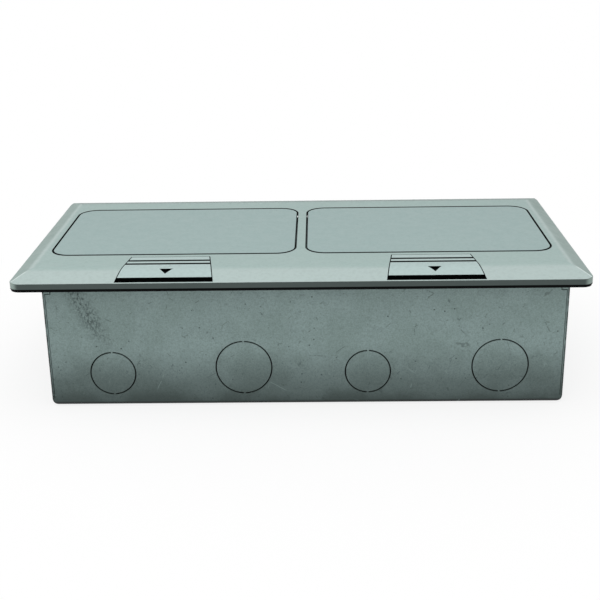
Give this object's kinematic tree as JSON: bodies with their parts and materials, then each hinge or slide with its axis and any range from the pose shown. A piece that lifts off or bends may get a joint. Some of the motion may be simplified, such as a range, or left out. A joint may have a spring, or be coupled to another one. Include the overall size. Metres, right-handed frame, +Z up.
{
  "type": "twin pop-up floor socket box",
  "caption": "Floor socket box with a bevelled cast cover, hinged lids that lift leaning socket panels, slide latches and a galvanised back box with conduit knockouts.",
  "frame": {"origin": "under the middle of the cover, on the underside of the back box", "axes": "+Z up out of the floor, -Y towards the latches (the side seen in the picture), +X to the right along the longer side"},
  "size_m": [0.255, 0.1364, 0.0656],
  "materials": {
    "cover_cast": "satin grey powder coat on a die casting",
    "lid_cast": "satin grey powder coat on a die casting",
    "latch_cast": "satin grey powder coat on a die casting",
    "gasket_foam": "matt black closed-cell foam",
    "box_sheet": "mottled galvanised sheet",
    "steel": "bright zinc plated",
    "steel_pin": "ground steel",
    "spring_steel": "drawn spring wire",
    "carrier_sheet": "zinc plated sheet",
    "module_white": "white moulding",
    "module_grey": "grey moulding",
    "contact_brass": "turned and pressed brass",
    "damper_black": "black glass-filled moulding",
    "gear_white": "natural acetal moulding"
  },
  "bodies": {
    "floor_box": {"back_box": "box_sheet", "floor_gasket": "gasket_foam", "cover_frame": "cover_cast", "cover_screws": "steel", "earth_stud": "contact_brass", "earth_nut": "contact_brass", "left_hinge_pin": "steel_pin", "right_hinge_pin": "steel_pin", "middle_hinge_pin": "steel_pin", "damper_bracket": "carrier_sheet", "bracket_screws": "steel", "damper_screws": "steel", "left_latch_spring": "spring_steel", "left_damper_housing": "damper_black", "left_lift_spring": "spring_steel", "right_latch_spring": "spring_steel", "right_damper_housing": "damper_black", "right_lift_spring": "spring_steel"},
    "left_lid_unit": {"left_lid": "lid_cast", "left_socket_carrier": "carrier_sheet", "left_carrier_screws": "steel", "left_power_socket": "module_white", "left_power_terminals": "contact_brass", "left_first_data_outlet": "module_white", "left_second_data_outlet": "module_white", "left_damper_sector": "gear_white", "left_sector_screws": "steel"},
    "left_shutter": {"left_power_shutter": "module_grey"},
    "left_slide_latch": {"left_latch": "latch_cast"},
    "left_pinion": {"left_damper_pinion": "gear_white"},
    "right_lid_unit": {"right_lid": "lid_cast", "right_socket_carrier": "carrier_sheet", "right_carrier_screws": "steel", "right_power_socket": "module_white", "right_power_terminals": "contact_brass", "right_first_data_outlet": "module_white", "right_second_data_outlet": "module_white", "right_damper_sector": "gear_white", "right_sector_screws": "steel"},
    "right_shutter": {"right_power_shutter": "module_grey"},
    "right_slide_latch": {"right_latch": "latch_cast"},
    "right_pinion": {"right_damper_pinion": "gear_white"}
  },
  "joints": [
    {"name": "left_lid_hinge", "type": "hinge", "parent": "floor_box", "child": "left_lid_unit", "pos_m": [-0.0594, 0.0326, 0.0631], "axis": [-1, 0, 0], "range_deg": [0, 45], "deforming": ["left_lift_spring"]},
    {"name": "left_latch_slide", "type": "slide", "parent": "floor_box", "child": "left_slide_latch", "axis": [0, -1, 0], "range_m": [0, 0.003], "stiffness_N_per_m": 500, "springref_m": -0.002, "deforming": ["left_latch_spring"]},
    {"name": "left_shutter_slide", "type": "slide", "parent": "left_lid_unit", "child": "left_shutter", "axis": [0, -0.4695, 0.8829], "range_m": [0, 0.0065], "stiffness_N_per_m": 60, "springref_m": -0.002},
    {"name": "left_pinion_turn", "type": "hinge", "parent": "floor_box", "child": "left_pinion", "pos_m": [-0.01, 0.0326, 0.0381], "axis": [-1, 0, 0], "range_deg": [-143, 0]},
    {"name": "right_lid_hinge", "type": "hinge", "parent": "floor_box", "child": "right_lid_unit", "pos_m": [0.0594, 0.0326, 0.0631], "axis": [-1, 0, 0], "range_deg": [0, 45], "deforming": ["right_lift_spring"]},
    {"name": "right_latch_slide", "type": "slide", "parent": "floor_box", "child": "right_slide_latch", "axis": [0, -1, 0], "range_m": [0, 0.003], "stiffness_N_per_m": 500, "springref_m": -0.002, "deforming": ["right_latch_spring"]},
    {"name": "right_shutter_slide", "type": "slide", "parent": "right_lid_unit", "child": "right_shutter", "axis": [0, -0.4695, 0.8829], "range_m": [0, 0.0065], "stiffness_N_per_m": 60, "springref_m": -0.002},
    {"name": "right_pinion_turn", "type": "hinge", "parent": "floor_box", "child": "right_pinion", "pos_m": [0.01, 0.0326, 0.0381], "axis": [-1, 0, 0], "range_deg": [-143, 0]}
  ],
  "couplings": [
    {"joint": "left_pinion_turn", "follows": "left_lid_hinge", "ratio": -3.1667},
    {"joint": "right_pinion_turn", "follows": "right_lid_hinge", "ratio": -3.1667}
  ]
}
